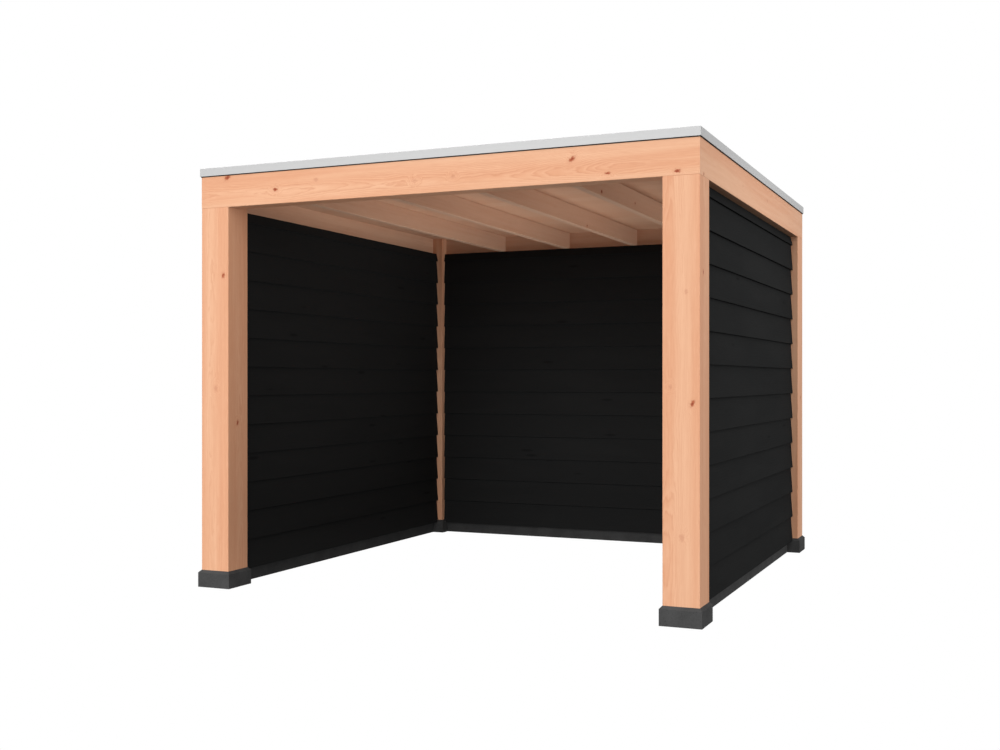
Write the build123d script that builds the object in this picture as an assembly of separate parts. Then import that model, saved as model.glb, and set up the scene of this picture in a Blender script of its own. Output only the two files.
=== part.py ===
from build123d import *
import os

# Garden canopy: four timber posts on dark feet, a mitred ring of beams, a flat roof on rafters,
# and three walls clad inside and out with tapered boards. The front is open.
# Millimetres, +Z up. The origin is on the ground under the middle of the roof,
# and the open front faces -Y.

# Plan over the outer faces of the posts, and the headroom under the ring beams
width = 3000
depth = 3000
headroom = 2236

# Posts and the feet that keep them off the ground
post_side = 190
foot_height = 100
foot_margin = 15

# Ring beams, and the small bevel planed on every long timber edge
beam_height = 200
beam_thickness = 110
arris_width = 2

# Rafters and the deck of boards that they carry
rafter_count = 4
rafter_pitch = 540
rafter_thickness = 45
rafter_height = 120
deck_thickness = 20

# Roof membrane: a tray on the deck, turned up the beams, over their tops and down their faces,
# where its hem shows as a dark line under the trim
membrane_thickness = 3
membrane_hem = 14

# Metal trim around the roof's edge, which laps down over the beams
trim_height = 47
trim_lap = 11
trim_overhang = 7
trim_sheet = 2
trim_crest = 24
trim_slope_run = 12
trim_flange = 50
trim_fillet = 3

# Sills on the ground between the feet
sill_thickness = 45

# Studs inside each wall
stud_count = 5
stud_width = 45
stud_depth = 65

# Tapered cladding boards: thick at the lower edge, thin at the top, each lapping the one below
board_thick_edge = 27
board_thin_edge = 12
board_exposure = 174.7
board_lap = 20
board_nose = 2
board_ground_gap = 80
board_foot_clearance = 2

# Levels and places that follow from the sizes above
beam_top = headroom + beam_height
deck_underside = headroom + rafter_height
deck_top = deck_underside + deck_thickness
inner_width = width - 2 * beam_thickness
inner_depth = depth - 2 * beam_thickness
cladding_height = headroom - board_ground_gap
wall_inset = post_side / 2
far = 2 * (width + depth)

corners = {
    "front_left": (-1, -1),
    "front_right": (1, -1),
    "back_left": (-1, 1),
    "back_right": (1, 1),
}

# Each side of the plan: its length, how far it lies from the middle, and its turn about Z
sides = {
    "front": (width, depth / 2, 0),
    "right": (depth, width / 2, 90),
    "back": (width, depth / 2, 180),
    "left": (depth, width / 2, 270),
}
walls = ["left", "back", "right"]


def block(x_size, y_size, z_low, z_high, x=0, y=0):
    """An upright block with its plan centred at x, y."""
    solid = Box(x_size, y_size, z_high - z_low, align=(Align.CENTER, Align.CENTER, Align.MIN))
    return Pos(x, y, z_low) * solid


def planed(section_width, section_height):
    """The section of a planed timber, with a bevel on each corner."""
    section = Rectangle(section_width, section_height)
    return chamfer(section.vertices(), arris_width)


def to_side(solid, side, inset=0):
    """Turn a piece drawn facing -Y, and set it that far inside the named side."""
    length, distance, turn = sides[side]
    return Rot(0, 0, turn) * Pos(0, inset - distance, 0) * solid


def mitre_wedge(length, overhang=0):
    """A tall wedge over one side of the plan, cut at 45 degrees through both corners."""
    half = length / 2 + overhang
    plan = Polyline((-half, -overhang), (half, -overhang), (0, half - overhang), close=True)
    return Pos(0, 0, -far) * extrude(make_face(plan), 2 * far)


def foot(x_side, y_side):
    """A foot that stands out round the post, bevelled on top down from the post's faces."""
    side = post_side + 2 * foot_margin
    x = x_side * (width - post_side) / 2
    y = y_side * (depth - post_side) / 2
    blank = block(side, side, 0, foot_height, x, y)
    return chamfer(blank.faces().sort_by(Axis.Z)[-1].edges(), foot_margin)


def post(x_side, y_side):
    """A post whose head is cut back to a tongue, so that both beams sit on its shoulders."""
    x = x_side * (width - post_side) / 2
    y = y_side * (depth - post_side) / 2
    shaft = extrude(planed(post_side, post_side), deck_underside - foot_height)
    shaft = Pos(x, y, foot_height) * shaft
    seat_x = x_side * (width - beam_thickness) / 2
    seat_y = y_side * (depth - beam_thickness) / 2
    shaft -= block(beam_thickness, depth, headroom, far, seat_x, 0)
    shaft -= block(width, beam_thickness, headroom, far, 0, seat_y)
    return shaft


def beam(side):
    """One beam of the ring, mitred to its neighbours at both ends."""
    length = sides[side][0]
    section = Plane.YZ * planed(beam_thickness, beam_height)
    bar = extrude(section, length / 2, both=True)
    bar = Pos(0, beam_thickness / 2, headroom + beam_height / 2) * bar
    return to_side(bar & mitre_wedge(length), side)


def rafter(x):
    section = Plane.XZ * planed(rafter_thickness, rafter_height)
    bar = extrude(section, inner_depth / 2, both=True)
    return Pos(x, 0, headroom + rafter_height / 2) * bar


def deck():
    return block(inner_width, inner_depth, deck_underside, deck_top)


def membrane():
    """The tray of the roof, with a flange over the beams and a hem down their outer faces."""
    lining = 2 * membrane_thickness
    rim_top = beam_top + membrane_thickness
    sheet = block(width + lining, depth + lining, beam_top - membrane_hem, rim_top)
    sheet -= block(width, depth, beam_top - far, beam_top)
    sheet += block(inner_width, inner_depth, deck_top, rim_top)
    floor = deck_top + membrane_thickness
    return sheet - block(inner_width - lining, inner_depth - lining, floor, far)


def trim(side):
    """A folded edge: outer face, flat crest, slope inwards, and a flange on the membrane."""
    length = sides[side][0]
    crest_top = trim_height - trim_lap
    flange_top = membrane_thickness + trim_sheet
    crest_end = trim_crest - trim_overhang
    slope_end = crest_end + trim_slope_run
    fold = FilletPolyline(
        (-trim_overhang, -trim_lap),
        (-trim_overhang, crest_top),
        (crest_end, crest_top),
        (slope_end, flange_top),
        (slope_end + trim_flange, flange_top),
        radius=trim_fillet,
    )
    sheet = fold.offset_2d(trim_sheet, kind=Kind.INTERSECTION, side=Side.RIGHT, closed=True)
    section = Plane.YZ * make_face(sheet)
    bar = extrude(section, length / 2 + trim_overhang, both=True)
    bar = Pos(0, 0, beam_top) * bar
    return to_side(bar & mitre_wedge(length, trim_overhang), side)


def wall_length(side):
    return sides[side][0] - 2 * post_side


def sill(side):
    """A board on the ground, between the feet and as high as they are."""
    length = wall_length(side) - 2 * foot_margin
    return to_side(block(length, sill_thickness, 0, foot_height), side, wall_inset)


def studs(side):
    """Upright studs from the sill to the beam, the outer two against the posts."""
    span = wall_length(side) - stud_width
    step = span / (stud_count - 1)
    row = Part()
    for index in range(stud_count):
        row += block(stud_width, stud_depth, foot_height, headroom, index * step - span / 2)
    return to_side(row, side, wall_inset)


def cladding_outline():
    """The stepped section of the lapped boards: one tooth for each course."""
    taper = board_thick_edge - board_thin_edge
    thin_at_lap = board_thin_edge + taper * board_lap / (board_exposure + board_lap)
    full_courses = int(cladding_height // board_exposure)
    points = [(0, board_lap), (-thin_at_lap, board_lap), (-thin_at_lap, 0)]
    for course in range(full_courses + 1):
        low = course * board_exposure
        high = min(low + board_exposure, cladding_height)
        thin = thin_at_lap if course < full_courses else board_thin_edge
        points.append((board_nose - board_thick_edge, low))
        points.append((-board_thick_edge, low + board_nose))
        points.append((-thin, high))
    points.append((0, cladding_height))
    return make_face(Polyline(*points, close=True))


def cladding(side, facing_out):
    """The boards on one face of a wall, notched at the ground where they pass the feet."""
    length = wall_length(side)
    skin = extrude(Plane.YZ * cladding_outline(), length / 2, both=True)
    skin = Pos(0, -stud_depth / 2, board_ground_gap) * skin
    notch_top = foot_height + board_foot_clearance
    notch_end = 2 * (foot_margin + board_foot_clearance)
    for end in (-1, 1):
        skin -= block(notch_end, far, 0, notch_top, end * length / 2)
    if not facing_out:
        skin = Rot(0, 0, 180) * skin
    return to_side(skin, side, wall_inset)


parts = {}
for name, (x_side, y_side) in corners.items():
    parts["foot_" + name] = foot(x_side, y_side)
    parts["post_" + name] = post(x_side, y_side)
for side in sides:
    parts["beam_" + side] = beam(side)
    parts["trim_" + side] = trim(side)
for index in range(rafter_count):
    offset_from_middle = (index - (rafter_count - 1) / 2) * rafter_pitch
    parts["rafter_" + str(index + 1)] = rafter(offset_from_middle)
parts["roof_deck"] = deck()
parts["roof_membrane"] = membrane()
for side in walls:
    parts["sill_" + side] = sill(side)
    parts["studs_" + side] = studs(side)
    parts["cladding_" + side + "_outside"] = cladding(side, True)
    parts["cladding_" + side + "_inside"] = cladding(side, False)

os.makedirs("parts", exist_ok=True)
for name, solid in parts.items():
    export_step(solid, "parts/" + name + ".step")
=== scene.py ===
import math
import random

import bmesh
import bpy
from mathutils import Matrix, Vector


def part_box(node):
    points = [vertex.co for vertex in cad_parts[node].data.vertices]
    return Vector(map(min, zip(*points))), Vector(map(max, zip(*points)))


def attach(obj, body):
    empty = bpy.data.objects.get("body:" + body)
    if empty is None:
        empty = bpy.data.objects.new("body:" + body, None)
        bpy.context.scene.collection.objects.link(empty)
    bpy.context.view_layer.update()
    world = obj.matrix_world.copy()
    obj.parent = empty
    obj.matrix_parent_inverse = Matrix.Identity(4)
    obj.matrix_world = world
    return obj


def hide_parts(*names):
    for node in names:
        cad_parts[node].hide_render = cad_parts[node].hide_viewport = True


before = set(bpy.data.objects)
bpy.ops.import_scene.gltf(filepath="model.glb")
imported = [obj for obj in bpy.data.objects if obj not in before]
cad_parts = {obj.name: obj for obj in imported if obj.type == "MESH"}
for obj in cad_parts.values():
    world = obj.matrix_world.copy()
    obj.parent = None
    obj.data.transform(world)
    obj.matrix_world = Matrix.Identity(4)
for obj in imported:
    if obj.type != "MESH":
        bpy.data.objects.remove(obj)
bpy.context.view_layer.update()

# Directions, as places in a vector
X, Y, Z = 0, 1, 2

# Camera, in metres, turned about Z from the way that looks along +Y
CAMERA_PLACE = (2.9404, -7.2397, 1.2244)
CAMERA_YAW = 0.4103
FOCAL_PIXELS = 1188.0
IMAGE_WIDTH = 1000
IMAGE_HEIGHT = 750
AXIS_X_PIXEL = 502.8
AXIS_Y_PIXEL = 379.7
SENSOR_WIDTH = 36.0


def set_camera():
    """The camera stands level at chest height, beyond the front right post."""
    lens = bpy.data.cameras.new("camera")
    lens.sensor_width = SENSOR_WIDTH
    lens.lens = FOCAL_PIXELS * SENSOR_WIDTH / IMAGE_WIDTH
    lens.shift_x = (IMAGE_WIDTH / 2 - AXIS_X_PIXEL) / IMAGE_WIDTH
    lens.shift_y = (AXIS_Y_PIXEL - IMAGE_HEIGHT / 2) / IMAGE_WIDTH
    camera = bpy.data.objects.new("camera", lens)
    camera.location = CAMERA_PLACE
    camera.rotation_euler = (math.pi / 2, 0, CAMERA_YAW)
    bpy.context.scene.collection.objects.link(camera)
    bpy.context.scene.camera = camera


# Shader nodes


class Value:
    """An output of a shader node, which can be used in sums like a number."""

    def __init__(self, nodes, socket):
        self.nodes = nodes
        self.socket = socket

    def __add__(self, other):
        return self.nodes.maths("ADD", self, other)

    def __radd__(self, other):
        return self.nodes.maths("ADD", other, self)

    def __sub__(self, other):
        return self.nodes.maths("SUBTRACT", self, other)

    def __rsub__(self, other):
        return self.nodes.maths("SUBTRACT", other, self)

    def __mul__(self, other):
        return self.nodes.maths("MULTIPLY", self, other)

    def __rmul__(self, other):
        return self.nodes.maths("MULTIPLY", other, self)

    def __truediv__(self, other):
        return self.nodes.maths("DIVIDE", self, other)

    def __rtruediv__(self, other):
        return self.nodes.maths("DIVIDE", other, self)


class Nodes:
    """A tree of shader nodes, with a short name for each step of a finish."""

    def __init__(self, tree):
        self.tree = tree

    def node(self, kind, settings, sockets, output=0):
        """Add a node, with its settings first and then a value or a link for each socket."""
        made = self.tree.nodes.new(kind)
        for setting, choice in settings.items():
            setattr(made, setting, choice)
        for key, value in sockets.items():
            self.feed(made, key, value)
        if isinstance(output, str):
            return Value(self, made.outputs[output])
        shown = [socket for socket in made.outputs if socket.enabled]
        return Value(self, shown[output])

    def feed(self, made, key, value):
        """Set or link one socket of a node, found by its name or by its place among those in use."""
        shown = [socket for socket in made.inputs if socket.enabled]
        if isinstance(key, str):
            shown = [socket for socket in shown if socket.name == key]
            key = 0
        if isinstance(value, Value):
            self.tree.links.new(value.socket, shown[key])
        else:
            shown[key].default_value = value

    def maths(self, operation, *values):
        return self.node("ShaderNodeMath", {"operation": operation}, dict(enumerate(values)))

    def vector(self, operation, *values):
        return self.node("ShaderNodeVectorMath", {"operation": operation}, dict(enumerate(values)))

    def place(self):
        """The point on the piece, in metres."""
        return self.node("ShaderNodeTexCoord", {}, {}, "Object")

    def mark(self, name):
        """A number that the mesh keeps for each of its faces."""
        return self.node("ShaderNodeAttribute", {"attribute_name": name}, {}, "Fac")

    def split(self, vector):
        first = self.node("ShaderNodeSeparateXYZ", {}, {0: vector})
        return [Value(self, socket) for socket in first.socket.node.outputs]

    def join(self, x, y, z):
        return self.node("ShaderNodeCombineXYZ", {}, {0: x, 1: y, 2: z})

    def noise(self, vector, scale=1.0, detail=2.0, roughness=0.5, output=0):
        sockets = {"Vector": vector, "Scale": scale, "Detail": detail, "Roughness": roughness}
        return self.node("ShaderNodeTexNoise", {}, sockets, output)

    def spots(self, vector, scale, inner, outer):
        """Scattered round spots: 1 up to the inner radius, 0 from the outer one on."""
        away = self.node("ShaderNodeTexVoronoi", {}, {"Vector": vector, "Scale": scale})
        return 1.0 - self.step(away, inner, outer)

    def step(self, value, low, high):
        """A soft step: 0 where the value is at low, 1 where it is at high."""
        sockets = {"Value": value, "From Min": low, "From Max": high}
        return self.node("ShaderNodeMapRange", {"interpolation_type": "SMOOTHSTEP"}, sockets)

    def blend(self, mask, first, second):
        """Go from the first colour to the second where the mask goes from 0 to 1."""
        return self.node("ShaderNodeMix", {"data_type": "RGBA"}, {"Factor": mask, "A": first, "B": second})

    def bump(self, height, depth, strength):
        sockets = {"Height": height, "Distance": depth, "Strength": strength}
        return self.node("ShaderNodeBump", {}, sockets)


class Finish(Nodes):
    """A material, with the shader nodes that give it its look."""

    def __init__(self, name):
        self.material = bpy.data.materials.new(name)
        self.material.use_nodes = True
        super().__init__(self.material.node_tree)

    def surface(self, sockets):
        """Set or link the sockets of the surface shader, and give back the material."""
        for name, value in sockets.items():
            self.feed(self.tree.nodes["Principled BSDF"], name, value)
        return self.material


def colour(red, green, blue):
    return (red, green, blue, 1.0)


def grey(level):
    return colour(level, level, level)


# Bare softwood. Colours are in linear light, and lengths in metres

HEARTWOOD = colour(0.612, 0.302, 0.173)
SAPWOOD = colour(0.664, 0.376, 0.233)
EARLYWOOD = colour(0.710, 0.425, 0.275)
LATEWOOD = colour(0.510, 0.210, 0.105)
# A greyer, paler wood, blended into the timbers under the roof as painted shade for the dull light there
PAINTED_SHADE_WOOD = colour(0.600, 0.400, 0.285)
KNOT_WOOD = colour(0.330, 0.072, 0.028)
KNOT_HEART = colour(0.190, 0.034, 0.014)

RING_WIDTH = 0.0048
RING_WARP = 0.022
HEART_DRIFT_SIDE = 0.09
HEART_DRIFT_RISE = 0.07
KNOT_DEPTH = 0.06
KNOT_BULGE = 0.014
FAINT_KNOT_BULGE = 0.016
KNOT_RAGGEDNESS = (0.024, 0.024, 0.024)
GRAIN_DEPTH = 0.0004
TURN_ABOUT = {X: "X_AXIS", Y: "Y_AXIS"}


def late_band(finish, turn, start, full, end):
    """The dark late wood of each ring, which darkens slowly and ends at once."""
    return finish.step(turn, start, full) * (1.0 - finish.step(turn, end, 1.0))


def fine_fibres(finish, length, side, rise, along=9.0, across=330.0):
    """Fibres a few millimetres wide and about a hand long."""
    place = finish.join(length * along, side * across, rise * across)
    return finish.noise(place, detail=3.0, roughness=0.6)


def knot_distance(finish, place, grain, knots):
    """How far the point is from the nearest knot, in knot radii."""
    ragged = finish.noise(place, scale=70.0, output="Color")
    ragged = finish.vector("SUBTRACT", ragged, (0.5, 0.5, 0.5))
    place = finish.vector("ADD", place, finish.vector("MULTIPLY", ragged, KNOT_RAGGEDNESS))
    nearest = None
    for centre, size, facing, stretch, lean in knots:
        radii = [size, size, size]
        radii[grain] = size * stretch
        radii[facing] = KNOT_DEPTH
        away = finish.vector("SUBTRACT", place, centre)
        turn = {"rotation_type": TURN_ABOUT[facing]}
        away = finish.node("ShaderNodeVectorRotate", turn, {"Vector": away, "Angle": lean})
        distance = finish.vector("LENGTH", finish.vector("DIVIDE", away, tuple(radii)))
        nearest = distance if nearest is None else finish.maths("MINIMUM", nearest, distance)
    return nearest


def heart_distance(finish, length, side, rise, heart, seed):
    """How far the point is from the heart of the log, which drifts along the timber's length."""
    drift = finish.join(length * 0.9 + seed * 7.3, seed * 3.1, 0.0)
    drift_side = finish.noise(drift, detail=1.0) - 0.5
    drift = finish.join(length * 0.9 + seed * 5.7, seed * 1.7 + 20.0, 0.0)
    drift_rise = finish.noise(drift, detail=1.0) - 0.5
    from_heart_side = side - heart[0] + drift_side * HEART_DRIFT_SIDE
    from_heart_rise = rise - heart[1] + drift_rise * HEART_DRIFT_RISE
    squares = from_heart_side * from_heart_side + from_heart_rise * from_heart_rise
    return finish.maths("SQRT", squares)


def streaked(finish, wood, length, side, rise, seed):
    """Mark the wood with streaks a finger wide and with short dashes, both dark and pale."""
    streaks = finish.join(length * 1.5, side * 48.0 + seed, rise * 48.0)
    streaks = finish.noise(streaks, detail=4.0, roughness=0.6)
    dashes = finish.noise(finish.join(length * 13.0, side * 120.0 + seed, rise * 120.0), detail=3.0)
    wood = finish.blend(finish.step(streaks, 0.40, 0.72) * 0.16, wood, LATEWOOD)
    wood = finish.blend((1.0 - finish.step(streaks, 0.28, 0.46)) * 0.26, wood, EARLYWOOD)
    wood = finish.blend(finish.step(dashes, 0.52, 0.72) * 0.10, wood, LATEWOOD)
    return finish.blend((1.0 - finish.step(dashes, 0.30, 0.46)) * 0.16, wood, EARLYWOOD)


def knotted(finish, wood, away):
    """Darken the wood round each knot, in the knot, and most of all in the knot's heart."""
    wood = finish.blend((1.0 - finish.step(away, 0.9, 2.0)) * 0.20, wood, LATEWOOD)
    wood = finish.blend((1.0 - finish.step(away, 0.45, 1.15)) * 0.92, wood, KNOT_WOOD)
    return finish.blend((1.0 - finish.step(away, 0.10, 0.55)) * 0.8, wood, KNOT_HEART)


def timber(name, grain, heart, seed, knots=(), faint_knots=(), figure=0.5, tone=0.0, pale=None, painted_shade=0.0):
    """Planed bare softwood: rings round the heart of the log, fibres along it, and knots.

    The figure is how strongly the rings show, and the tone how sappy the wood is. A post's pale
    streak has a middle and half a width, and painted shade blends in a greyer, paler wood for
    the dull light under the roof.
    """
    finish = Finish(name)
    place = finish.place()
    coordinates = finish.split(place)
    length = coordinates.pop(grain)
    side, rise = coordinates
    radius = heart_distance(finish, length, side, rise, heart, seed)

    # A warp of the rings, long in the grain's direction, and a bulge round each knot
    warp = finish.join(length * 2.6, side * 12.0 + seed, rise * 12.0)
    radius = radius + (finish.noise(warp, detail=4.0, roughness=0.6) - 0.5) * RING_WARP
    if knots:
        away = knot_distance(finish, place, grain, knots)
        radius = radius + finish.step(away, 3.6, 0.4) * KNOT_BULGE
    if faint_knots:
        faint = knot_distance(finish, place, grain, faint_knots)
        radius = radius + finish.step(faint, 3.2, 0.3) * FAINT_KNOT_BULGE
    turn = finish.maths("FRACT", radius / RING_WIDTH)
    late = late_band(finish, turn, 0.62, 0.90, 0.93)
    early = finish.step(turn, 0.0, 0.12) * (1.0 - finish.step(turn, 0.15, 0.55))

    # Bands a hand wide, fibres, and stretches where the rings stand out
    bands = finish.noise(finish.join(length * 0.55 + seed, side * 13.0, rise * 13.0))
    fibres = fine_fibres(finish, length, side, rise)
    plain = finish.noise(finish.join(length * 1.3, side * 7.0, rise * 7.0 + seed * 2.0))

    sappy = finish.step(bands, 0.34, 0.66) + tone
    if pale:
        middle, half_width = pale
        offset = finish.maths("ABSOLUTE", side - middle + (plain - 0.5) * 0.08)
        sappy = sappy * 0.4 + finish.step(offset, half_width, half_width * 0.3) * 0.55
    wood = finish.blend(sappy, HEARTWOOD, SAPWOOD)
    # Painted shade: a greyer, paler wood stands in for the dull light under the roof
    if painted_shade:
        wood = finish.blend(painted_shade, wood, PAINTED_SHADE_WOOD)
    clear = finish.step(plain, 0.38, 0.64) * 0.8 + 0.2
    wood = finish.blend(early * clear * (0.42 * figure), wood, EARLYWOOD)
    wood = finish.blend(late * clear * (0.52 * figure), wood, LATEWOOD)
    wood = streaked(finish, wood, length, side, rise, seed)
    wood = finish.blend(finish.step(fibres, 0.52, 0.80) * 0.12, wood, LATEWOOD)
    if faint_knots:
        wood = finish.blend((1.0 - finish.step(faint, 0.25, 1.25)) * 0.26, wood, KNOT_WOOD)
    if knots:
        wood = knotted(finish, wood, away)
    return finish.surface({
        "Base Color": wood,
        "Roughness": 0.58 + fibres * 0.12 - late * 0.06,
        "Specular IOR Level": 0.15,
        "Normal": finish.bump(late * 0.5 + fibres * 0.6, depth=GRAIN_DEPTH, strength=0.35),
    })


# How far the deck is blended to the greyer wood: painted shade for the dull light under the roof
DECK_PAINTED_SHADE = 0.35


def deck_wood(name):
    """Bare softwood boards, each with its own shade, seen only from below."""
    finish = Finish(name)
    number = finish.mark("board")
    length, side, rise = finish.split(finish.place())
    length = length + number * 4.7
    warp = finish.noise(finish.join(length * 1.4, side * 9.0, number), detail=3.0, roughness=0.55)
    turn = finish.maths("FRACT", side * 60.0 + warp * 8.0)
    late = late_band(finish, turn, 0.30, 0.9, 0.92)
    fibres = fine_fibres(finish, length, side, rise)
    shade = finish.noise(finish.join(number * 3.7, length * 0.3, 0.0), detail=1.0)
    wood = finish.blend(finish.step(shade, 0.3, 0.7), HEARTWOOD, SAPWOOD)
    # Painted shade: the deck is greyed for the dull light under the roof
    wood = finish.blend(DECK_PAINTED_SHADE, wood, PAINTED_SHADE_WOOD)
    wood = finish.blend(late * 0.12, wood, LATEWOOD)
    wood = finish.blend(finish.step(fibres, 0.52, 0.80) * 0.12, wood, LATEWOOD)
    return finish.surface({
        "Base Color": wood,
        "Roughness": 0.6 + fibres * 0.1,
        "Specular IOR Level": 0.15,
        "Normal": finish.bump(late * 0.5 + fibres * 0.6, depth=GRAIN_DEPTH, strength=0.35),
    })


# Stained boards, concrete, metal and rubber

BLACK_STAIN = colour(0.0135, 0.0138, 0.0139)
THIN_STAIN_AND_PAINTED_LIGHT = colour(0.0158, 0.0160, 0.0160)
THICK_STAIN = colour(0.0065, 0.0067, 0.0068)


def black_boards(name, grain, fade):
    """Softwood boards stained black, on which the grain still shows faintly."""
    finish = Finish(name)
    number = finish.mark("board")
    coordinates = finish.split(finish.place())
    length = coordinates[grain] + number * 5.37
    side = coordinates[1 - grain]
    rise = coordinates[Z]
    warp = finish.noise(finish.join(length * 1.2, side * 6.0, rise * 9.0 + number))
    turn = finish.maths("FRACT", rise * 70.0 + warp * 3.5 + side * 30.0)
    late = late_band(finish, turn, 0.25, 0.85, 0.88)
    fibres = fine_fibres(finish, length, side, rise, along=10.0, across=300.0)
    patches = finish.noise(finish.join(length * 1.1, side, rise * 7.0 + number * 2.0))
    cells = finish.join(length * 1.7, number * 3.3, rise * 9.0)
    knot = finish.spots(cells, scale=1.0, inner=0.05, outer=0.11)
    # The fade moves a whole wall to the lighter or darker black: painted light on the left wall, painted
    # shade on the back wall
    board = finish.blend(finish.step(patches, 0.3, 0.7) + fade, BLACK_STAIN, THIN_STAIN_AND_PAINTED_LIGHT)
    board = finish.blend(late * 0.12, board, THICK_STAIN)
    board = finish.blend(finish.step(fibres, 0.5, 0.8) * 0.22, board, THICK_STAIN)
    board = finish.blend(knot * 0.6, board, THICK_STAIN)
    return finish.surface({
        "Base Color": board,
        "Roughness": 0.78 + fibres * 0.12 - late * 0.06,
        "Specular IOR Level": 0.012,
        "Normal": finish.bump(late * 0.5 + fibres * 0.7 - knot * 0.5, depth=0.0005, strength=0.25),
    })


# Levels of grey in the concrete
CEMENT = 0.043
PALE_CEMENT = 0.058
SAND = 0.069
PINHOLE = 0.020


def dark_concrete(name, seed, shade):
    """Smooth dark concrete from a mould, cloudy, with a few pinholes."""
    finish = Finish(name)
    place = finish.vector("ADD", finish.place(), (seed, seed * 0.7, 0.0))
    clouds = finish.noise(place, scale=9.0, detail=4.0, roughness=0.6)
    specks = finish.noise(place, scale=160.0, detail=3.0, roughness=0.6)
    hole = finish.spots(place, scale=70.0, inner=0.10, outer=0.17)
    # Every grey is scaled by the shade; on the inner sills, left and back, that darkening is painted shade
    cast = finish.blend(finish.step(clouds, 0.3, 0.7), grey(CEMENT * shade), grey(PALE_CEMENT * shade))
    cast = finish.blend(finish.step(specks, 0.35, 0.75) * 0.5, cast, grey(SAND * shade))
    cast = finish.blend(hole * 0.7, cast, grey(PINHOLE * shade))
    return finish.surface({
        "Base Color": cast,
        "Roughness": 0.84 + specks * 0.12,
        "Specular IOR Level": 0.03,
        "Normal": finish.bump(clouds * 0.4 + specks * 0.3 - hole, depth=0.0008, strength=0.5),
    })


MITRE_LINE = 0.0009


def satin_aluminium(name):
    """Aluminium sheet with a satin skin, and a fine dark line along each mitre of the trim."""
    finish = Finish(name)
    place = finish.place()
    clouds = finish.noise(place, scale=2.2, detail=3.0)
    specks = finish.noise(place, scale=700.0, detail=2.0, roughness=0.6)
    dull = grey(0.383)
    clear = grey(0.411)
    bright = grey(0.48)
    metal = finish.blend(finish.step(specks, 0.4, 0.7) * 0.2, finish.blend(clouds, dull, clear), bright)
    x, y = finish.split(place)[:2]
    from_mitre = finish.maths("ABSOLUTE", finish.maths("ABSOLUTE", x) - finish.maths("ABSOLUTE", y))
    mitre = 1.0 - finish.step(from_mitre, MITRE_LINE * 0.5, MITRE_LINE)
    metal = finish.blend(mitre * 0.75, metal, grey(0.09))
    return finish.surface({
        "Base Color": metal,
        "Metallic": 0.04,
        "Roughness": 0.44 + clouds * 0.10,
        "Specular IOR Level": 0.5,
        "Normal": finish.bump(specks, depth=0.0001, strength=0.2),
    })


def roofing_rubber(name):
    """Black roofing sheet, matt, with the bloom and dust of a roof that has seen rain."""
    finish = Finish(name)
    place = finish.place()
    bloom = finish.noise(place, scale=1.7, detail=5.0, roughness=0.6)
    grain = finish.noise(place, scale=420.0, detail=2.0, roughness=0.6)
    clean = colour(0.013, 0.013, 0.014)
    dusty = colour(0.027, 0.026, 0.025)
    rubber = finish.blend(finish.step(bloom, 0.35, 0.70), clean, dusty)
    rubber = finish.blend(finish.step(grain, 0.5, 0.8) * 0.3, rubber, grey(0.045))
    return finish.surface({
        "Base Color": rubber,
        "Roughness": 0.55 + bloom * 0.25,
        "Specular IOR Level": 0.3,
        "Normal": finish.bump(grain + bloom * 2.0, depth=0.0006, strength=0.4),
    })


def stainless_steel(name):
    finish = Finish(name)
    scratches = finish.noise(finish.place(), scale=900.0, detail=3.0, roughness=0.7)
    steel = finish.blend(scratches, grey(0.50), colour(0.62, 0.62, 0.61))
    return finish.surface({"Base Color": steel, "Metallic": 1.0, "Roughness": 0.28 + scratches * 0.15})


# Pieces and their finishes


def dress(node_name, material):
    """Give a CAD piece its finish."""
    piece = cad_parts[node_name]
    piece.data.materials.clear()
    piece.data.materials.append(material)


def add_piece(name, mesh, material, replaced=()):
    """Put a new piece in the scene and tie it to the frame."""
    mesh.materials.append(material)
    piece = bpy.data.objects.new(name, mesh)
    bpy.context.scene.collection.objects.link(piece)
    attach(piece, "root")
    if replaced:
        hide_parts(*replaced)
    return piece


def finished_mesh(form, name):
    """Turn a built form into a mesh, and let go of the form."""
    mesh = bpy.data.meshes.new(name)
    form.to_mesh(mesh)
    form.free()
    return mesh


# Timbers

front_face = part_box("beam_front")[0].y
right_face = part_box("beam_right")[1].x
left_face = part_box("beam_left")[0].x
post_inner_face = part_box("post_front_left")[1].x


def on_front(x, z, size, stretch=1.5, lean=0.0):
    """A knot on a face that looks forwards."""
    return (x, front_face, z), size, Y, stretch, lean


def on_side(face, y, z, size, stretch=1.5, lean=0.0):
    """A knot on a face that looks sideways."""
    return (face, y, z), size, X, stretch, lean


def on_rafter(name, y, z, size):
    """A round knot on the right side of a rafter."""
    return on_side(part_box(name)[1].x, y, z, size, 1.0)


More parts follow.
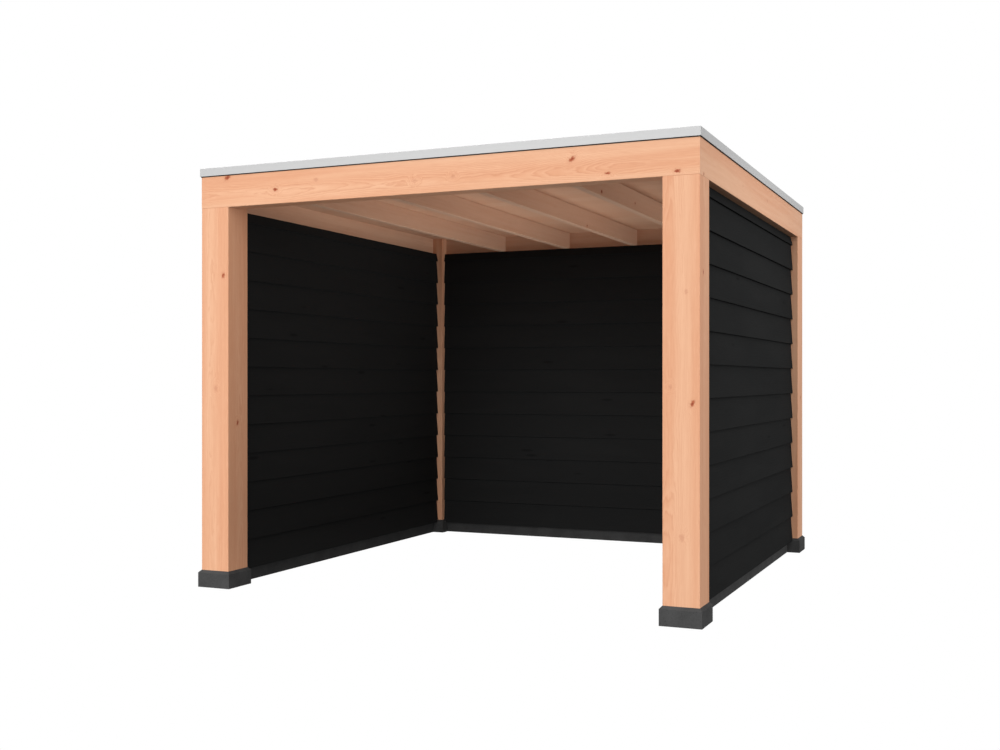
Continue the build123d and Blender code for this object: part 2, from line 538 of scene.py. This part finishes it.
KNOTS = {
    "beam_front": [
        on_front(-1.315, 2.409, 0.015, 1.6, 0.5),
        on_front(-0.982, 2.318, 0.011),
        on_front(0.832, 2.359, 0.014, 1.6, 0.6),
        on_front(1.023, 2.272, 0.007, 2.4),
        on_front(1.385, 2.259, 0.010, 1.9),
    ],
    "beam_right": [on_side(right_face, -1.42, 2.25, 0.008)],
    "beam_left": [on_side(left_face, 0.3, 2.33, 0.010)],
    "post_front_left": [
        on_front(-1.347, 1.837, 0.011, 1.7),
        on_side(post_inner_face, -1.41, 0.970, 0.012, 1.6, 0.3),
    ],
    "post_front_right": [
        on_front(1.463, 1.107, 0.012, 1.7, -0.5),
        on_side(right_face, -1.431, 1.757, 0.009, 1.8),
    ],
    "post_back_left": [on_side(left_face, 1.40, 1.4, 0.010)],
    "post_back_right": [on_side(right_face, 1.42, 1.1, 0.010)],
    "rafter_3": [on_rafter("rafter_3", 0.26, 2.253, 0.011)],
    "rafter_4": [on_rafter("rafter_4", -1.03, 2.258, 0.012), on_rafter("rafter_4", -0.41, 2.280, 0.009)],
}

# Knots that lie just under the face and only tint it
FAINT_KNOTS = {
    "beam_front": [
        on_front(-0.710, 2.356, 0.013),
        on_front(-0.080, 2.308, 0.012),
        on_front(0.150, 2.316, 0.011),
    ],
    "beam_right": [on_side(right_face, -0.508, 2.324, 0.010), on_side(right_face, 0.2, 2.34, 0.012)],
    "post_front_left": [on_front(-1.40, 1.172, 0.016)],
    "post_front_right": [
        on_front(1.43, 1.657, 0.010),
        on_front(1.409, 0.443, 0.016),
        on_front(1.351, 1.186, 0.010),
    ],
}

# What is given of a timber: its grain, the heart of its log from its middle, and how its face looks
# The timbers under the roof are greyed and paled as painted shade for the dull light there
SHELTERED_BEAM = {"figure": 0.3, "painted_shade": 0.6}
RAFTER = (Y, (0.05, 0.1), {"figure": 0.2, "painted_shade": 0.7})
STUDS = (Z, (0.4, 0.5), {})
TIMBERS = {
    "beam_front": (X, (0.03, -0.03), {"figure": 0.85, "tone": 0.12}),
    "beam_back": (X, (-0.05, 0.04), SHELTERED_BEAM),
    "beam_right": (Y, (-0.09, 0.02), {"figure": 0.25, "tone": 0.15}),
    "beam_left": (Y, (0.08, -0.04), SHELTERED_BEAM),
    "post_front_left": (Z, (-0.03, 0.02), {"figure": 0.6, "pale": (-1.43, 0.06)}),
    "post_front_right": (Z, (-0.06, 0.01), {"figure": 0.6, "pale": (1.412, 0.068)}),
    "post_back_left": (Z, (0.03, 0.05), {}),
    "post_back_right": (Z, (-0.07, -0.02), {"figure": 0.3}),
    "rafter_1": RAFTER,
    "rafter_2": RAFTER,
    "rafter_3": RAFTER,
    "rafter_4": RAFTER,
    "studs_left": STUDS,
    "studs_back": STUDS,
    "studs_right": STUDS,
}


def finish_timbers():
    for seed, (name, (grain, heart, look)) in enumerate(TIMBERS.items()):
        low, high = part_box(name)
        middle = list((low + high) / 2)
        middle.pop(grain)
        heart = (middle[0] + heart[0], middle[1] + heart[1])
        knots = KNOTS.get(name, ())
        faint_knots = FAINT_KNOTS.get(name, ())
        dress(name, timber(name + "_wood", grain, heart, seed + 1.0, knots, faint_knots, **look))


# Feet, sills and trim

# The shade of each piece of concrete: the inner sills, left and back, are darkened as painted shade for the
# dim light inside the walls, and the feet differ a little, piece by piece
CONCRETE_TONE_AND_PAINTED_SHADE = {
    "foot_front_left": 1.0,
    "foot_front_right": 1.03,
    "foot_back_left": 0.9,
    "foot_back_right": 1.0,
    "sill_left": 0.76,
    "sill_back": 0.76,
    "sill_right": 1.0,
}


def finish_concrete():
    for index, (name, shade) in enumerate(CONCRETE_TONE_AND_PAINTED_SHADE.items()):
        dress(name, dark_concrete(name + "_concrete", index + 1.0, shade))


def finish_trim():
    aluminium = satin_aluminium("satin_aluminium")
    for side in ("front", "right", "back", "left"):
        dress("trim_" + side, aluminium)


# Cladding: tapered boards, thick at the lower edge, each lapping the one below

BOARD_THICK_EDGE = 0.027
BOARD_THIN_EDGE = 0.012
BOARD_EXPOSURE = 0.1747
BOARD_LAP = 0.020
BOARD_NOSE = 0.002
BOARD_NOSE_STEPS = 4
BOARD_TOP_EASE = 0.001
BOARD_END_GAP = 0.0006
BOARD_END_GAP_SPREAD = 0.0006
BOARD_END_MARGIN = 0.06
BOARD_SPANS = 22
LEAST_COURSE = 0.001

# The lowest board is cut back at its ends, where it passes the feet
NOTCH_WIDTH = 0.017
NOTCH_HEIGHT = 0.022

# A board's slight bends, out of the wall and up: the height of each wave, and its radians a metre
BOWS_OUT = [(0.00025, 2.1), (0.00015, 5.3)]
BOWS_UP = [(0.00030, 1.7), (0.00020, 4.1)]

# For each wall: the way that its boards run, the way out, and how far its boards are shifted to the lighter
# black, or to the darker where that is below nought:
# painted light on the left wall and painted shade on the back wall, for the light their inner faces get
WALLS = {"left": (Y, -1, 0.5), "back": (X, 1, -0.4), "right": (Y, 1, 0.0)}


def board_section(height):
    """The section of a tapered board, outwards and upwards: above its notch line, and below it."""
    taper = (BOARD_THICK_EDGE - BOARD_THIN_EDGE) / height

    def face(up):
        return BOARD_THICK_EDGE - taper * up

    lap_share = BOARD_LAP / (BOARD_EXPOSURE + BOARD_LAP)
    lap_thickness = BOARD_THIN_EDGE + (BOARD_THICK_EDGE - BOARD_THIN_EDGE) * lap_share
    upper = [
        (face(NOTCH_HEIGHT), NOTCH_HEIGHT),
        (face(height * 0.5), height * 0.5),
        (face(height - BOARD_TOP_EASE), height - BOARD_TOP_EASE),
        (BOARD_THIN_EDGE - BOARD_TOP_EASE, height),
        (0.0, height),
        (0.0, NOTCH_HEIGHT),
    ]
    lower = [(0.0, BOARD_LAP), (lap_thickness, BOARD_LAP), (lap_thickness, 0.0)]
    centre_out = face(BOARD_NOSE) - BOARD_NOSE
    for step in range(BOARD_NOSE_STEPS + 1):
        angle = math.pi / 2 * (step / BOARD_NOSE_STEPS - 1)
        lower.append((centre_out + BOARD_NOSE * math.cos(angle), BOARD_NOSE + BOARD_NOSE * math.sin(angle)))
    return upper, lower


def board_stations(length, notched, dice):
    """The places along a board where its section is set, from one end to the other."""
    half = length / 2 - BOARD_END_GAP - dice.uniform(0, BOARD_END_GAP_SPREAD)
    inner = length / 2 - BOARD_END_MARGIN
    stations = [inner * (2 * k / BOARD_SPANS - 1) for k in range(BOARD_SPANS + 1)]
    if notched:
        notch = length / 2 - NOTCH_WIDTH
        stations = [-notch] + stations + [notch]
    return [-half] + stations + [half]


def bend(waves, phases, along):
    """How far a board is bent at a place along it."""
    return sum(size * math.sin(pace * along + phase) for (size, pace), phase in zip(waves, phases))


def add_board(form, length, base, height, notched, seat, dice):
    """Sweep one board along its length, and give back its faces."""
    upper, lower = board_section(height)
    section = upper + lower
    stations = board_stations(length, notched, dice)
    phases = [dice.uniform(0, 2 * math.pi) for _ in range(4)]
    rings = []
    for along in stations:
        bow = bend(BOWS_OUT, phases[:2], along)
        rise = bend(BOWS_UP, phases[2:], along)
        ring = [form.verts.new(seat(along, out + bow, base + up + rise)) for out, up in section]
        rings.append(ring)
    faces = []
    last = len(stations) - 1
    for k in range(last):
        short = notched and k in (0, last - 1)
        count = len(upper) if short else len(section)
        for i in range(count):
            j = (i + 1) % count
            faces.append(form.faces.new((rings[k][i], rings[k][j], rings[k + 1][j], rings[k + 1][i])))
    for end, beside in ((0, 1), (last, last - 1)):
        if notched:
            faces.append(form.faces.new(rings[end][:len(upper)]))
            faces.append(form.faces.new(rings[beside][len(upper) - 1:] + rings[beside][:1]))
            for vertex in rings[end][len(upper):]:
                form.verts.remove(vertex)
        else:
            faces.append(form.faces.new(rings[end]))
    return faces


def clad(node_name, run, facing, seed):
    """The boards on one face of a wall, from the ground up. Only the lowest is notched."""
    low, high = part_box(node_name)
    dice = random.Random(seed)
    outwards = 1 - run
    back_plane = low[outwards] if facing > 0 else high[outwards]
    centre = (low[run] + high[run]) / 2
    length = high[run] - low[run]

    def seat(along, out, up):
        place = [0.0, 0.0, up]
        place[run] = centre + along
        place[outwards] = back_plane + facing * out
        return place

    form = bmesh.new()
    number_layer = form.faces.layers.float.new("board")
    base = low.z
    number = seed
    while base < high.z - LEAST_COURSE:
        height = min(BOARD_EXPOSURE + BOARD_LAP, high.z - base)
        for face in add_board(form, length, base, height, base == low.z, seat, dice):
            face[number_layer] = number
        base += BOARD_EXPOSURE
        number += 1
    bmesh.ops.recalc_face_normals(form, faces=form.faces)
    return finished_mesh(form, "boards")


def clad_walls():
    seed = 0
    for side, (run, outward, fade) in WALLS.items():
        # The fade is the wall's painted light or painted shade
        wood = black_boards("black_boards_" + side, run, fade)
        for face, facing in (("outside", outward), ("inside", -outward)):
            seed += 1
            node_name = "cladding_" + side + "_" + face
            boards = clad(node_name, run, facing, seed)
            add_piece("boards_" + side + "_" + face, boards, wood, (node_name,))


# Roof deck: boards from side to side, whose lower edges are eased, so that their joints show

DECK_BOARD_COUNT = 20
DECK_BOARD_SPANS = 10
DECK_JOINT = 0.0003
DECK_EASE = 0.0005
DECK_SEED = 40


def deck_boards():
    low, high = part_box("roof_deck")
    form = bmesh.new()
    number_layer = form.faces.layers.float.new("board")
    width = (high.y - low.y) / DECK_BOARD_COUNT
    stations = [low.x + (high.x - low.x) * k / DECK_BOARD_SPANS for k in range(DECK_BOARD_SPANS + 1)]
    dice = random.Random(DECK_SEED)
    for number in range(DECK_BOARD_COUNT):
        near = low.y + number * width + DECK_JOINT / 2
        far = near + width - DECK_JOINT
        section = [
            (near + DECK_EASE, low.z), (far - DECK_EASE, low.z), (far, low.z + DECK_EASE),
            (far, high.z), (near, high.z), (near, low.z + DECK_EASE),
        ]
        rings = [[form.verts.new((x, y, z)) for y, z in section] for x in stations]
        faces = [form.faces.new(rings[0]), form.faces.new(rings[-1])]
        for ring, next_ring in zip(rings, rings[1:]):
            for i in range(len(section)):
                j = (i + 1) % len(section)
                faces.append(form.faces.new((ring[i], ring[j], next_ring[j], next_ring[i])))
        shade = number + dice.random()
        for face in faces:
            face[number_layer] = shade
    bmesh.ops.recalc_face_normals(form, faces=form.faces)
    return finished_mesh(form, "deck")


def lay_deck():
    add_piece("deck_boards", deck_boards(), deck_wood("deck_wood"), ("roof_deck",))


# Roof membrane: a tray on the deck, turned up the beams, over their tops and down their faces

SHEET_THICKNESS = 0.0015
SHEET_CELLS = 90
# How far the sheet hangs down each beam's face: the few millimetres below the trim are partly the real hem
# and partly a black strip standing for the trim's shadow, a painted shadow
HEM_AND_SHADOW_LINE = 0.0157
TRAY_FLOOR_RISE = 0.003
RIM_CLEARANCE = 0.0003
WELD_DISTANCE = 0.00001
MEMBRANE_SEED = 50

# The marks of the roll: slow waves, in radians a metre, and creases across the sheet
WAVE_COUNT = 7
WAVE_PACES = (3.0, 15.0)
WAVE_HEIGHT = 0.0009
WAVE_MARGIN = 0.1
CREASES = (-1.4, -0.5, 0.45, 1.35)
CREASE_SPACING = 0.68
CREASE_SPREAD = 0.05
CREASE_WIDTH = 0.012
CREASE_HEIGHT = 0.0011
CREASE_WANDER = 0.01
CREASE_WANDER_PACE = 3
SHEET_LOOSENESS = 0.0006

# The spare sheet at each corner of the tray, folded into a triangle
FOLD_LENGTH = 0.055
FOLD_THICKNESS = 0.0018
FOLD_ABOVE_FLOOR = 0.012
FOLD_BELOW_RIM = 0.006
FOLD_FROM_CORNER = 0.0055
FOLD_FROM_BEAM = 0.0042

beam_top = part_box("beam_front")[1].z
sheet_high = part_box("roof_membrane")[1]
deck_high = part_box("roof_deck")[1]
floor_level = deck_high.z + TRAY_FLOOR_RISE
rim_level = sheet_high.z - RIM_CLEARANCE


def rim_profile():
    """From the hem's lower edge over the beam and down into the tray, outwards and upwards."""
    rim = sheet_high.x
    tray = deck_high.x
    return [
        (rim, beam_top - HEM_AND_SHADOW_LINE),
        (rim, rim_level - 0.003),
        (rim - 0.0008, rim_level - 0.0008),
        (rim - 0.003, rim_level),
        (tray + 0.004, rim_level),
        (tray - 0.001, rim_level - 0.0012),
        (tray - 0.0035, rim_level - 0.005),
        (tray - 0.0045, floor_level + 0.014),
        (tray - 0.008, floor_level + 0.005),
        (tray - 0.016, floor_level + 0.0012),
        (tray - 0.03, floor_level),
    ]


def tray_floor(inner):
    """The height of the tray's floor at a point, flat again where it nears the sides."""
    dice = random.Random(MEMBRANE_SEED)
    waves = []
    for _ in range(WAVE_COUNT):
        pace = dice.uniform(*WAVE_PACES)
        heading = dice.uniform(0, 2 * math.pi)
        waves.append((pace, heading, dice.uniform(0, 2 * math.pi)))
    creases = [dice.uniform(-CREASE_SPREAD, CREASE_SPREAD) + CREASE_SPACING * k for k in CREASES]

    def height(x, y):
        ripple = 0.0
        for pace, heading, phase in waves:
            ahead = x * math.cos(heading) + y * math.sin(heading)
            ripple += math.sin(pace * ahead + phase)
        ripple /= WAVE_COUNT
        wander = CREASE_WANDER * math.sin(CREASE_WANDER_PACE * y)
        crease = sum(math.exp(-((x - middle + wander) / CREASE_WIDTH) ** 2) for middle in creases)
        fade = min(1.0, (inner - max(abs(x), abs(y))) / WAVE_MARGIN)
        return floor_level + fade * (WAVE_HEIGHT * ripple + CREASE_HEIGHT * crease + SHEET_LOOSENESS)

    return height


def membrane_sheet():
    """One sheet, laid as a tray, with the slight waves and creases it keeps from its roll."""
    profile = rim_profile()
    inner = profile[-1][0]
    grid = [inner * (2 * k / SHEET_CELLS - 1) for k in range(SHEET_CELLS + 1)]
    edge = [out for out, up in profile[:-1]]
    lines = [-out for out in edge] + grid + edge[::-1]
    last = len(lines) - 1
    floor_height = tray_floor(inner)

    def height(row, column):
        from_edge = min(row, column, last - row, last - column)
        if from_edge < len(edge):
            return profile[from_edge][1]
        return floor_height(lines[column], lines[row])

    form = bmesh.new()
    rows = []
    for row, y in enumerate(lines):
        rows.append([form.verts.new((x, y, height(row, column))) for column, x in enumerate(lines)])
    for near, far in zip(rows, rows[1:]):
        for i in range(last):
            form.faces.new((near[i], near[i + 1], far[i + 1], far[i]))
    bmesh.ops.remove_doubles(form, verts=form.verts, dist=WELD_DISTANCE)
    return finished_mesh(form, "membrane")


def corner_folds():
    """At each corner of the tray, the spare sheet lies folded flat against the side."""
    form = bmesh.new()
    low = floor_level + FOLD_ABOVE_FLOOR
    high = rim_level - FOLD_BELOW_RIM
    corner = deck_high.x - FOLD_FROM_CORNER
    wall = deck_high.y - FOLD_FROM_BEAM
    outline = [(corner, low), (corner, high), (corner - FOLD_LENGTH, high)]
    for x_side in (-1, 1):
        for y_side in (-1, 1):
            near = [form.verts.new((x_side * x, y_side * wall, z)) for x, z in outline]
            far = [form.verts.new((x_side * x, y_side * (wall - FOLD_THICKNESS), z)) for x, z in outline]
            form.faces.new(near)
            form.faces.new(far)
            for i in range(3):
                j = (i + 1) % 3
                form.faces.new((near[i], near[j], far[j], far[i]))
    bmesh.ops.recalc_face_normals(form, faces=form.faces)
    return finished_mesh(form, "folds")


def lay_membrane():
    rubber = roofing_rubber("roofing_rubber")
    sheet = add_piece("membrane_sheet", membrane_sheet(), rubber, ("roof_membrane",))
    solid = sheet.modifiers.new("thickness", "SOLIDIFY")
    solid.thickness = SHEET_THICKNESS
    solid.offset = -1
    for polygon in sheet.data.polygons:
        polygon.use_smooth = True
    add_piece("membrane_corner_folds", corner_folds(), rubber)


# Screws through the flange of the trim: a washer, and a domed head with a round drive

SCREW_PROFILE = [
    (0.0070, 0.0), (0.0070, 0.0007), (0.0046, 0.0011), (0.0045, 0.0019), (0.0037, 0.0030),
    (0.0017, 0.0035), (0.0014, 0.0022),
]
SCREW_SIDES = 14
SCREWS_A_SIDE = 10
SCREW_PITCH = 0.3
FLANGE_MIDDLE = 0.054
FLANGE_TOP = 0.005


def add_screw(form, x, y, base):
    angles = [2 * math.pi * k / SCREW_SIDES for k in range(SCREW_SIDES)]
    rings = []
    for radius, up in SCREW_PROFILE:
        ring = [(x + radius * math.cos(a), y + radius * math.sin(a), base + up) for a in angles]
        rings.append([form.verts.new(place) for place in ring])
    form.faces.new(rings[0])
    form.faces.new(rings[-1])
    for lower, upper in zip(rings, rings[1:]):
        for k in range(SCREW_SIDES):
            j = (k + 1) % SCREW_SIDES
            form.faces.new((lower[k], lower[j], upper[j], upper[k]))


def trim_screws():
    form = bmesh.new()
    out = -front_face - FLANGE_MIDDLE
    for number in range(SCREWS_A_SIDE):
        along = (number - (SCREWS_A_SIDE - 1) / 2) * SCREW_PITCH
        for x, y in ((along, -out), (out, along), (-along, out), (-out, -along)):
            add_screw(form, x, y, beam_top + FLANGE_TOP)
    bmesh.ops.recalc_face_normals(form, faces=form.faces)
    return finished_mesh(form, "screws")


def fix_trim():
    add_piece("trim_screws", trim_screws(), stainless_steel("stainless_steel"))


# Studio: a white floor that only the camera sees, and soft light, strongest from the front

WHITE = grey(1.0)
FLOOR_REACH = 60.0
SKY_LIGHT = 1.0
FRONT_LIGHT = 1.35
SIDE_DIMMING = 0.3
GROUND_LIGHT = 0.12
HORIZON_LOW = -0.14
HORIZON_HIGH = -0.04

# Each lamp: its kind, its power, where it stands, where it points, and how it is set
LAMPS = {
    "key": ("AREA", 700.0, (-2.4, -12.8, 5.0), (0.0, -1.5, 1.3), {"size": 6.0}),
    "back_light": ("SUN", 2.0, (-6.0, 9.0, 6.0), (0.0, 0.0, 0.0), {"angle": math.radians(30)}),
    "side_light": ("SUN", 0.74, (6.0, 0.0, 1.0), (0.0, 0.0, 1.0), {"angle": math.radians(20)}),
    "ceiling_light": (
        "AREA", 14.5, (0.1, -0.1, 0.04), (0.1, -0.1, 2.0),
        {"shape": "RECTANGLE", "size": 2.3, "size_y": 2.3, "spread": math.radians(108)},
    ),
    "side_fill": (
        "AREA", 10.0, (25.0, 0.0, 3.0), (0.0, 0.0, 3.0),
        {"size": 1.0, "spread": math.radians(13.4), "use_shadow": False},
    ),
}


def set_floor():
    corners = [(-1, -1), (1, -1), (1, 1), (-1, 1)]
    mesh = bpy.data.meshes.new("floor")
    mesh.from_pydata([(x * FLOOR_REACH, y * FLOOR_REACH, 0.0) for x, y in corners], [], [(0, 1, 2, 3)])
    finish = Finish("white_floor")
    mesh.materials.append(finish.surface({
        "Base Color": grey(0.0),
        "Specular IOR Level": 0.0,
        "Emission Color": WHITE,
        "Emission Strength": 1.0,
    }))
    floor = bpy.data.objects.new("floor", mesh)
    floor.visible_diffuse = False
    floor.visible_glossy = False
    floor.visible_shadow = False
    bpy.context.scene.collection.objects.link(floor)


def set_sky():
    """Plain white to look at. Its light is stronger in front, softer on the right and dim below."""
    world = bpy.data.worlds.new("sky")
    world.use_nodes = True
    bpy.context.scene.world = world
    sky = Nodes(world.node_tree)
    x, y, z = sky.split(sky.node("ShaderNodeTexCoord", {}, {}, "Generated"))
    ahead = sky.maths("MAXIMUM", 0.0 - y, 0.0)
    light = ahead * ahead * FRONT_LIGHT + SKY_LIGHT - sky.maths("MAXIMUM", x, 0.0) * SIDE_DIMMING
    light = sky.step(z, HORIZON_LOW, HORIZON_HIGH) * (light - GROUND_LIGHT) + GROUND_LIGHT
    seen = sky.node("ShaderNodeLightPath", {}, {}, "Is Camera Ray")
    background = world.node_tree.nodes["Background"]
    sky.feed(background, "Color", WHITE)
    sky.feed(background, "Strength", sky.maths("MAXIMUM", light, seen))


def add_lamp(name, kind, power, place, towards, settings):
    lamp = bpy.data.lights.new(name, kind)
    lamp.energy = power
    for setting, choice in settings.items():
        setattr(lamp, setting, choice)
    light = bpy.data.objects.new(name, lamp)
    light.location = place
    light.rotation_euler = (Vector(towards) - Vector(place)).to_track_quat("-Z", "Y").to_euler()
    light.visible_camera = False
    bpy.context.scene.collection.objects.link(light)


def set_studio():
    set_floor()
    set_sky()
    for name, lamp in LAMPS.items():
        add_lamp(name, *lamp)
    bpy.context.scene.view_settings.view_transform = "Standard"


set_camera()
finish_timbers()
finish_concrete()
finish_trim()
clad_walls()
lay_deck()
lay_membrane()
fix_trim()
set_studio()
